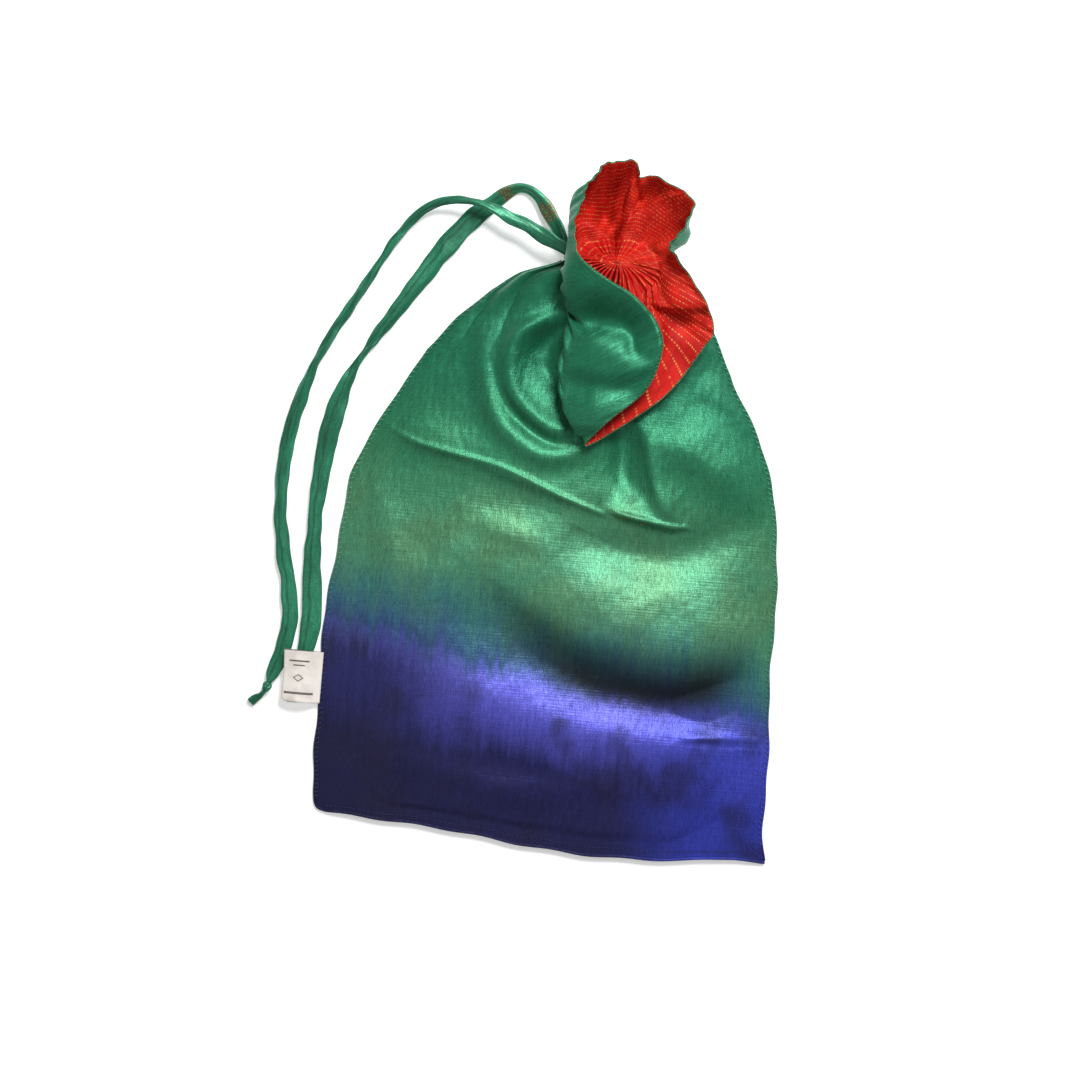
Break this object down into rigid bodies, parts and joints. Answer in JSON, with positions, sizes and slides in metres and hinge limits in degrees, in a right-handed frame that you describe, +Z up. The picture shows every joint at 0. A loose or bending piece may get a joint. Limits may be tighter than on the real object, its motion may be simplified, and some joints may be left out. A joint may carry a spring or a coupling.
{
  "type": "fabric gift sack",
  "caption": "Lined drawstring gift sack of dyed satin, lying flat and empty, with a gathered neck, a flopped frill at the mouth and a folded side label.",
  "frame": {"origin": "on the table under the sack, on the underside of the back panel, half way between the bottom seam and the neck's start, on the sack's middle line", "axes": "+Y from the bottom seam to the mouth, +Z up off the table, +X to the right seen from above"},
  "size_m": [0.314, 0.4077, 0.0395],
  "materials": {
    "satin_outer": "emerald satin dyed into indigo at the bottom",
    "red_lining": "thin red silk with rows of gold dashes",
    "drawstring_silk": "emerald satin tube",
    "label_ribbon": "off-white woven ribbon",
    "thread": "pale green sewing thread"
  },
  "bodies": {
    "sack": {"outer_front_panel": "satin_outer", "outer_back_panel": "satin_outer", "left_side_seam": "satin_outer", "right_side_seam": "satin_outer", "bottom_seam": "satin_outer", "casing_outer": "satin_outer", "frill_outer": "satin_outer", "lining_front_panel": "red_lining", "lining_back_panel": "red_lining", "casing_lining": "red_lining", "frill_lining": "red_lining", "drawstring_loop": "drawstring_silk", "side_stitches": "thread", "casing_stitches": "thread"},
    "lobe": {"lobe_outer": "satin_outer", "lobe_lining": "red_lining"},
    "label": {"side_label": "label_ribbon"},
    "tails": {"long_tail": "drawstring_silk", "short_tail": "drawstring_silk", "long_tail_knot": "drawstring_silk", "short_tail_knot": "drawstring_silk", "long_tail_cut_end": "drawstring_silk"}
  },
  "joints": [
    {"name": "frill_lift", "type": "hinge", "parent": "sack", "child": "lobe", "pos_m": [0.014, 0.2, 0.027], "axis": [-1, 0, 0], "range_deg": [0, 35]},
    {"name": "label_flip", "type": "hinge", "parent": "sack", "child": "label", "pos_m": [-0.13755, -0.076, 0.005], "axis": [0, 1, 0], "range_deg": [0, 130]},
    {"name": "drawstring_pull", "type": "slide", "parent": "sack", "child": "tails", "axis": [-0.7413, 0.6712, 0], "range_m": [0, 0.015]}
  ]
}
